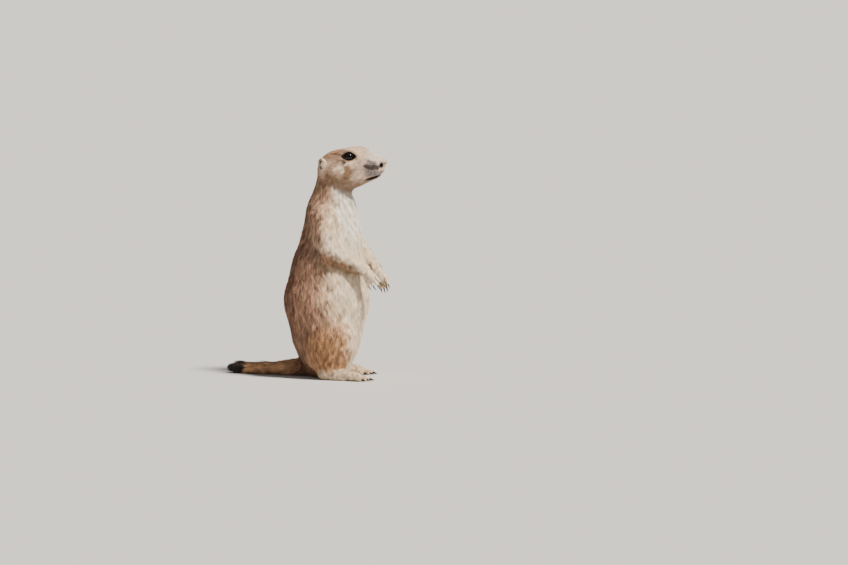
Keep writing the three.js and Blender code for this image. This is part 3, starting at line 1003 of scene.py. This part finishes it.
def build_skin():
    margin = 3.0
    low = np.array(cad_low) / MM - margin
    high = np.array(cad_high) / MM + margin
    points, quads = surface_net(low, high, SKIN_CELL)
    points = settle(points)
    points[:, 2] = np.maximum(points[:, 2], FLOOR_LIFT)
    shares = part_shares(points)
    tone = markings(points, shares)
    tone = tone * (0.62 + 0.3 * ramp(0.25, 0.75, tone.mean(1)))[:, None]
    uv = skin_unwrap(points, quads, shares.argmax(1))
    limbs = ["thigh", "foot", "upper_foreleg", "forearm", "hand", "ear"]
    nodes = ["trunk", "neck", "head", "tail", "tail_tip"]
    nodes += [f"{limb}_{side}" for limb in limbs for side in SIDES]
    build_piece("skin", points, [quads], tone, SKIN_LOOK, "coat_brown", *nodes, uv=uv)
    return points, quads


# The coat
def along_skin(v, normal):
    """The share of the directions v that runs along the skin."""
    return v - (v * normal).sum(1, keepdims=True) * normal


def form_shares(p):
    """Hair length, coat depth and the way the hair lies at the points p."""
    distances, lengths, depths, lies = [], [], [], []
    for part in PARTS:
        far = np.linalg.norm(p - part.middle, axis=1) - part.reach
        close = far < NEAR
        q = part.local(p[close])
        for form in part.forms:
            d = far + NEAR
            d[close] = form.distance(q, 1)
            distances.append(d)
            lengths.append(form.hair)
            depths.append(form.coat)
            lies.append(part.axes @ form.lie)
    d = np.stack(distances, 1)
    w = np.exp(-(d - d.min(1, keepdims=True)) / 3.0)
    w /= w.sum(1, keepdims=True)
    return w @ np.array(lengths), w @ np.array(depths), w @ np.array(lies)


def scatter(points, quads, spacing_area):
    """Random places on the quads, more where the area wanted for each tuft is small."""
    a, b, c, d = (points[quads[:, i]] for i in range(4))
    area = np.linalg.norm(np.cross(c - a, d - b), axis=1) / 2
    wanted = area / spacing_area
    number = np.floor(wanted + rng.random(len(wanted))).astype(int)
    face = np.repeat(np.arange(len(quads)), number)
    s, t = rng.random((2, len(face), 1))
    return (a[face] * (1 - s) + b[face] * s) * (1 - t) + (d[face] * (1 - s) + c[face] * s) * t


def in_the_open(p):
    """Whether hair grows at each point: not in the sockets, nostrils, lips or ear hollows."""
    keep = p[:, 2] > FLOOR_LIFT + 0.25
    q = HEAD.local(p)
    forward = -q[:, 1]
    for name, side in SIDES.items():
        keep &= EYES[name].nearness(p)[0] > 1.1
        keep &= nostril(side).distance(q, 0) > 0.5
        keep &= ear_hollow(side).distance(q, 0) > 0.3
    keep &= bare_nose(q) > 0.2
    lips = (np.abs(q[:, 2] - mouth_height(forward) + 0.2) < 0.7) & (forward > 39)
    return keep & ~(lips & (np.linalg.norm(q, axis=1) < 75))


def part_round_eyes(p, normal, lie, hair):
    """Lie and length of the hair, parted round the eyes and shortest at their lids."""
    for eye in EYES.values():
        reach, away = eye.nearness(p)
        close = ramp(2.3, 1.1, reach)[:, None]
        inward = np.minimum((lie * away).sum(1, keepdims=True), 0)
        beside = unit(np.cross(normal, away))
        beside = beside * np.where((beside * lie).sum(1, keepdims=True) < 0, -1, 1)
        lie = unit(lie - away * inward * close + beside * 0.35 * close)
        hair = hair * (1 - 0.72 * ramp(1.9, 1.0, reach))
    return lie, hair


# Places along a tuft where it has points, from root to tip, and its widths at all but the last
TUFT_STATIONS = {True: [0, 0.35, 0.72, 1.0], False: [0, 0.5, 1.0]}
TUFT_WIDTHS = {True: [0.8, 1.0, 0.62], False: [0.9, 0.85]}


def tuft_width(length):
    return 0.13 + 0.028 * length


def tuft_mesh(tufts, long):
    """Points, quads, tip faces and tones of flat tapered tufts that lie along the body."""
    roots, normal, lie, length = (tufts[key] for key in ("root", "normal", "lie", "hair"))
    count = len(roots)
    stations, widths = TUFT_STATIONS[long], TUFT_WIDTHS[long]
    roll = rng.normal(0, TUFT_ROLL, count)[:, None]
    side = unit(np.cross(lie, normal))
    flat = side * np.cos(roll) + normal * np.sin(roll)
    sway = rng.normal(0, TUFT_SWAY, count)[:, None] * side
    clump = along_skin(MIDDLE.slope(roots), normal)
    rise = tufts["depth"] * rng.uniform(0.55, 1.0, count)
    half = tuft_width(length) / 2 * rng.uniform(0.8, 1.25, count)
    points = []
    for k, s in enumerate(stations):
        lift = rise * (1 - (1 - s) ** 2) + 0.05
        reach = length * s
        bend = clump * (CLUMP_PULL * length * s * s)[:, None] + sway * (length * s * s)[:, None]
        row = roots + lie * reach[:, None] + bend + normal * (lift - ROOT_DEPTH)[:, None]
        if k > 0:
            row = row + normal * np.clip(lift - body(row), *TIP_SHIFT)[:, None]
        if k < len(widths):
            aside = flat * (half * widths[k])[:, None]
            points += [row - aside, row + aside]
        else:
            points.append(row)
    per = len(points)
    points = np.stack(points, 1)
    points[:, :, 2] = np.maximum(points[:, :, 2], LOWEST_TIP)
    base = (np.arange(count) * per)[:, None]
    steps = range(len(widths) - 1)
    quads = np.concatenate([base + np.array([2 * k, 2 * k + 1, 2 * k + 3, 2 * k + 2]) for k in steps])
    tips = base + np.array([per - 3, per - 2, per - 1])
    share = np.append(np.repeat(stations[:-1], 2), 1.0)[None, :, None]
    tones = tufts["tone"][:, None] * (1 - share) + tufts["tip_tone"][:, None] * share
    return points.reshape(-1, 3), quads, tips, tones.reshape(-1, 3)


def sheet_places(p, owner):
    """Place of each root on the piece's sheet, where the unwraps of its parts stand side by side."""
    places = np.zeros((len(p), 2))
    left = 0.0
    for i in np.unique(owner):
        mine = owner == i
        own = unwrap(PARTS[i], p[mine])
        own = (own - own.min(0)) / np.maximum(np.ptp(own, axis=0), 1e-6)
        wide = mine.mean()
        room = (wide - 2 * SHEET_EDGE, 1 - 2 * SHEET_EDGE)
        places[mine] = own * room + (left + SHEET_EDGE, SHEET_EDGE)
        left += wide
    return places


def tuft_corners(places, long):
    """Sheet places of all the points of the tufts: a small patch at each root."""
    along = np.append(np.repeat(TUFT_STATIONS[long][:-1], 2), 1.0) - 0.5
    across = np.append(np.tile([-0.5, 0.5], len(along) // 2), 0.0)
    patch = np.stack([across, along], 1) * PATCH
    return (places[:, None] + patch[None]).reshape(-1, 2)


def between(low, high):
    """Which points lie between two heights."""
    return lambda p: (p[:, 2] > low) & (p[:, 2] <= high)


# Pieces of the coat: name, slot, parts that own their tufts, and where on them
SKULL = ["head", "ear_right", "ear_left"]
REGIONS = [
    ("head_right", "brown", SKULL, lambda p: HEAD.local(p)[:, 0] < 0),
    ("head_left", "brown", SKULL, lambda p: HEAD.local(p)[:, 0] >= 0),
    ("shoulders", "brown", ["core"], between(150, 300)),
    ("loin", "brown", ["core"], between(95, 150)),
    ("belly", "brown", ["core"], between(50, 95)),
    ("rump", "brown", ["core"], between(0, 50)),
    ("thigh_right", "brown", ["thigh_right"], between(0, 300)),
    ("thigh_left", "brown", ["thigh_left"], between(0, 300)),
    ("arm_right", "cream", ["arm_right"], between(0, 300)),
    ("arm_left", "cream", ["arm_left"], between(0, 300)),
    ("hands", "cream", ["hand_right", "hand_left"], between(0, 300)),
    ("foot_right", "cream", ["foot_right"], between(0, 300)),
    ("foot_left", "cream", ["foot_left"], between(0, 300)),
    ("tail", "brown", ["tail"], between(0, 300)),
]


def build_coat(points, quads):
    hair, _, _ = form_shares(points[quads].mean(1))
    layers = COAT_LAYERS * 1.0
    roots = scatter(points, quads, hair * tuft_width(hair) * 0.7 / layers)
    roots = roots[in_the_open(roots)]
    shares = part_shares(roots)
    normal = slopes(roots)
    hair, depth, lie = form_shares(roots)
    lie = unit(along_skin(lie, normal))
    lie = unit(lie + along_skin(BROAD.slope(roots), normal) * LIE_PULL)
    lie, hair = part_round_eyes(roots, normal, lie, hair)
    hair = hair * np.interp(roots[:, 1], TAIL_THINNING, [1, 0.35])
    hair = hair * rng.uniform(*HAIR_SPREAD, len(hair))
    tone = markings(roots, shares)
    head = named_shares(shares)["skull"]
    streaks = FINE.value(roots * np.array([1, 1, 0.28])) * (1 - head) + FINE.value(roots) * head * 0.5
    pale = ramp(0.25, 0.75, tone.mean(1))
    strength = STREAKING - STREAKING_PALE * pale
    brightness = 1 + 0.05 * MIDDLE.value(roots) + 0.05 * head * WARP_B.value(roots)
    brightness = brightness + strength * streaks + rng.normal(0, 1, len(roots)) * strength * 0.6
    tone = tone * np.clip(brightness, *BRIGHTNESS)[:, None]
    browns = ramp(0.50, 0.2, tone.mean(1)) * (1 - head)
    dark_tip = (rng.random(len(roots)) < DARK_TIPS) * browns
    tufts = {"root": roots, "normal": normal, "lie": lie, "hair": hair, "depth": depth}
    tufts["tone"] = tone * (0.80 + 0.12 * pale)[:, None]
    tufts["tip_tone"] = tone * (1.14 - 0.65 * dark_tip[:, None])
    tufts["owner"] = shares.argmax(1)
    names = np.array([part.name for part in PARTS])[tufts["owner"]]
    for region, slot, members, where in REGIONS:
        build_region(region, slot, picked(tufts, np.isin(names, members) & where(roots)))


def picked(tufts, chosen):
    return {key: values[chosen] for key, values in tufts.items()}


def build_region(region, slot, tufts):
    """One piece of the coat, its long tufts first."""
    made, first = [], 0
    places = sheet_places(tufts["root"], tufts["owner"])
    for long in (True, False):
        chosen = (tufts["hair"] > LONG_HAIR) == long
        if chosen.any():
            points, quads, tips, tones = tuft_mesh(picked(tufts, chosen), long)
            uv = tuft_corners(places[chosen], long)
            corners = uv[quads.ravel()], uv[tips.ravel()]
            made.append((points, quads + first, tips + first, tones, *corners))
            first += len(points)
    if not made:
        return
    points, quads, tips, tones, quad_uv, tip_uv = (np.concatenate(column) for column in zip(*made))
    uv = np.concatenate([quad_uv, tip_uv])
    build_piece(f"coat_{region}", points, [quads, tips], tones, COAT_LOOK, f"coat_{slot}", uv=uv)


# Eyes and lids
def ring_grid(rings, spokes, turned=False):
    """Quads between rings of points that are listed one ring after the other."""
    i, j = np.meshgrid(np.arange(rings - 1), np.arange(spokes), indexing="ij")
    k = (j + 1) % spokes
    first, second = i * spokes, (i + 1) * spokes
    quads = np.stack([first + j, first + k, second + k, second + j], -1).reshape(-1, 4)
    return quads[:, ::-1] if turned else quads


def build_eyeball(name, eye):
    """The eyeball, a little fuller over the pupil."""
    rings, spokes = 40, 56
    _, direction = eye.spokes(spokes)
    points, tones = [], []
    for polar in np.linspace(0.0, math.pi, rings):
        bulge = 0.35 * bell(polar, 0.75)
        ring = eye.outward * math.cos(polar) + direction * math.sin(polar)
        points.append(eye.centre + ring * (eye.radius - 0.25 + bulge))
        turned = np.full(spokes, polar)
        iris = (IRIS, ramp(0.36, 0.46, turned))
        tones.append(painted(PUPIL, [iris, (IRIS_EDGE, ramp(0.85, 1.0, turned))]))
    faces = ring_grid(rings, spokes, SIDES[name] > 0)
    points, tones = np.concatenate(points), np.concatenate(tones)
    build_piece(f"eyeball_{name}", points, [faces], tones, EYE_LOOK, "eye", f"eye_{name}")


# Rings of a lid's edge, as angle past the opening and height over the eyeball,
# and of its outer part, as share of the almond and height over the head's skin
LID_EDGE = [(-0.05, -0.5), (0.0, 0.15), (0.05, 0.5), (0.14, 0.55), (0.22, 0.35)]
LID_FIELD = [(0.78, 0.55), (1.0, 0.45), (1.18, -0.5)]


def build_lids(name, eye):
    """The dark bare lids round the eye, which end in a corner before and behind it."""
    spokes = 72
    turn, direction = eye.spokes(spokes)
    opening = 1 / np.hypot(np.cos(turn) / 1.02, np.sin(turn) / 0.78)
    rows = []
    for spread, height in LID_EDGE:
        polar = (opening + spread)[:, None]
        ring = eye.outward * np.cos(polar) + direction * np.sin(polar)
        rows.append(eye.centre + ring * (eye.radius + height))
    for share, height in LID_FIELD:
        row = eye.middle + direction * (almond(turn) * share)[:, None]
        for _ in range(6):
            row = row - eye.outward * (HEAD.distance(row, 1.0) - height)[:, None]
        inner = np.linalg.norm(row - eye.centre, axis=1) < eye.radius + 0.3
        row[inner] = eye.centre + unit(row[inner] - eye.centre) * (eye.radius + 0.35)
        rows.append(row)
    faces = ring_grid(len(rows), spokes, SIDES[name] > 0)
    build_piece(f"eyelids_{name}", np.concatenate(rows), [faces], EYE_RIM * 0.5, LID_LOOK, "nose_skin")


# Nose, claws and whiskers
def build_nose():
    """The bare pad at the end of the muzzle, parted by a groove, with a notch over each nostril."""
    rings, spokes = 44, 64
    polar = np.linspace(0, math.pi, rings)[:, None]
    turn = (np.arange(spokes) * 2 * np.pi / spokes)[None]
    around = np.ones_like(turn)
    ball = [np.sin(polar) * np.cos(turn), -np.cos(polar) * around, np.sin(polar) * np.sin(turn)]
    ball = np.stack(ball, -1).reshape(-1, 3)
    flare = 1 + 0.22 * ramp(0.3, -0.7, -ball[:, 1])
    q = NOSE_PAD.centre + ball * NOSE_PAD.radii * np.stack([flare, np.ones_like(flare), flare], 1)
    # Made paler than the pad's own darker skin, as painted light
    tone = NOSE_PAD_LIT
    for side in SIDES.values():
        inner = NOSE_PAD.centre + at(side * 2.4, 1.6, -0.9)
        outer = NOSE_PAD.centre + at(side * 5.0, -0.6, -2.6)
        notch = near_line(q, inner, outer, 0.8, 1.6)
        tone = mix(tone, NOSTRIL, notch)
        q = q - ball * (1.2 * notch)[:, None]
    groove = bell(q[:, 0], 0.5) * ramp(14, 12.5, q[:, 2])
    q = q - ball * (0.5 * groove)[:, None]
    tone = mix(tone, LIP, groove * 0.7)
    points, faces = HEAD_PIVOT + q @ HEAD_AXES.T, ring_grid(rings, spokes)
    build_piece("nose_pad", points, [faces], tone, LEATHER_LOOK, "nose_skin", "nose")


def curved_horn(start, end, droop, root_radius, flat, rings, spokes):
    """Points of a claw or a whisker: a tapered tube along a bent line."""
    middle = (start + end) / 2 - droop
    share = np.linspace(0, 1, rings)[:, None]
    line = start * (1 - share) ** 2 + 2 * middle * share * (1 - share) + end * share**2
    along = unit(np.gradient(line, axis=0))
    across = unit(np.cross(along, droop + 1e-6))
    above = np.cross(across, along)
    radius = root_radius * (1 - share) ** 0.62 + 0.06
    turn = (np.arange(spokes) * 2 * np.pi / spokes)[None, :, None]
    ring = across[:, None] * np.cos(turn) * flat + above[:, None] * np.sin(turn)
    return (line[:, None] + ring * radius[:, None]).reshape(-1, 3)


def build_horns(name, horns, flat, rings, spokes, tone, tip_tone):
    """Claws or whiskers as one piece, each given by its start, end, droop and root radius."""
    points = np.concatenate([curved_horn(*horn, flat, rings, spokes) for horn in horns])
    points[:, 2] = np.maximum(points[:, 2], LOWEST_TIP)
    grid = ring_grid(rings, spokes)
    faces = [grid + i * rings * spokes for i in range(len(horns))]
    share = np.tile(np.repeat(np.linspace(0, 1, rings), spokes), len(horns))
    tones = mix(tone, tip_tone, ramp(0.7, 1.0, share))
    build_piece(name, points, faces, tones, HORN_LOOK, "claw")


def build_claws():
    for name in SIDES:
        along, _, back = hand_axes(name)
        hand, foot = [], []
        for share, (_, _, tip) in zip(CLAW_SHARES, fingers(name)):
            end = tip + along * FINGER["claw"] * share - back * 1.5
            hand.append((tip - along * 0.6, end, back * -1.3, 1.15))
        for _, _, tip in toes(name):
            foot.append((tip + at(0, -0.6, 0.2), tip + at(0, TOE["claw"], -1.6), DOWN, 1.25))
        for limb, claws in (("hand", hand), ("foot", foot)):
            build_horns(f"claws_{limb}_{name}", claws, 0.75, 10, 8, CLAW_TONE, CLAW_TIP)


def build_whiskers():
    whiskers = []
    for side in SIDES.values():
        for (row, place), (forward, up) in zip(WHISKER_GRID, WHISKER_ROOTS):
            root = HEAD_PIVOT + HEAD_AXES @ at(side * 11, forward, up)
            for _ in range(8):
                root = root - HEAD_AXES @ at(side, 0, 0) * (HEAD.distance(root[None], 1.0)[0] + 0.2)
            swept = unit(at(side, 0.05 - 0.30 * place, 0.12 - 0.20 * row) + rng.normal(0, 0.05, 3))
            size = (13 + 3.6 * place) * rng.uniform(0.85, 1.1)
            bend = at(0, -1, -0.6) * -size * 0.10
            whiskers.append((root, root + HEAD_AXES @ swept * size, HEAD_AXES @ bend, 0.11))
    build_horns("whiskers", whiskers, 1.0, 8, 3, WHISKER_TONE, WHISKER_TONE)


# Floor, light and camera
def view_axes(azimuth, elevation):
    """Right, up and back of a camera or a lamp that looks at the model from those angles."""
    a, e = math.radians(azimuth), math.radians(elevation)
    right = np.array([math.cos(a), math.sin(a), 0])
    back = np.array([math.sin(a) * math.cos(e), -math.cos(a) * math.cos(e), math.sin(e)])
    return right, np.cross(back, right), back


def put_in_scene(name, data, axes, spot):
    item = bpy.data.objects.new(name, data)
    matrix = np.eye(4)
    matrix[:3, :3] = np.stack(axes, 1)
    matrix[:3, 3] = spot
    item.matrix_world = Matrix(matrix.tolist())
    bpy.context.scene.collection.objects.link(item)
    return item


def build_camera():
    right, up, back = view_axes(CAMERA_AZIMUTH, CAMERA_ELEVATION)
    shift_right = (FRAME_WIDE / 2 - ORIGIN_PIXEL[0]) * MM_IN_A_PIXEL * MM
    shift_up = (ORIGIN_PIXEL[1] - FRAME_HIGH / 2) * MM_IN_A_PIXEL * MM
    aim = right * shift_right + up * shift_up
    data = bpy.data.cameras.new("camera")
    data.sensor_width = SENSOR
    data.lens = SENSOR * CAMERA_DISTANCE / (FRAME_WIDE * MM_IN_A_PIXEL * MM)
    data.clip_start, data.clip_end = CAMERA_RANGE
    spot = aim + back * CAMERA_DISTANCE
    bpy.context.scene.camera = put_in_scene("camera", data, (right, up, back), spot)


def add_lamp(name, azimuth, elevation, strength, softness, tint):
    """An even lamp that shines on the whole floor from one side."""
    data = bpy.data.lights.new(name, "SUN")
    data.energy = strength
    data.angle = math.radians(softness)
    data.color = tint
    axes = view_axes(azimuth, elevation)
    put_in_scene(name, data, axes, axes[2]).visible_camera = False


def build_stage():
    floor = bpy.data.meshes.new("floor")
    corners = [(x * FLOOR_REACH, y * FLOOR_REACH, 0) for x, y in [(-1, -1), (1, -1), (1, 1), (-1, 1)]]
    floor.from_pydata(corners, [], [(0, 1, 2, 3)])
    material, shader = new_material("floor_paint")
    set_sockets(shader, Base_Color=FLOOR_TINT)
    noise = add_node(material, "ShaderNodeTexNoise", Scale=4)
    rough = add_node(material, "ShaderNodeMapRange", To_Min=0.70, To_Max=0.78)
    wire(material, (noise, "Fac", rough, "Value"), (rough, "Result", shader, "Roughness"))
    floor.materials.append(material)
    put_in_scene("floor", floor, np.eye(3), 0)
    world = bpy.data.worlds.new("studio")
    world.use_nodes = True
    set_sockets(world.node_tree.nodes["Background"], Color=SKY_TINT, Strength=SKY_STRENGTH)
    bpy.context.scene.world = world
    for lamp in LAMPS:
        add_lamp(*lamp)


def main():
    build_camera()
    build_stage()
    skin_points, skin_quads = build_skin()
    build_coat(skin_points, skin_quads)
    for name, eye in EYES.items():
        build_eyeball(name, eye)
        build_lids(name, eye)
    build_nose()
    build_claws()
    build_whiskers()


main()
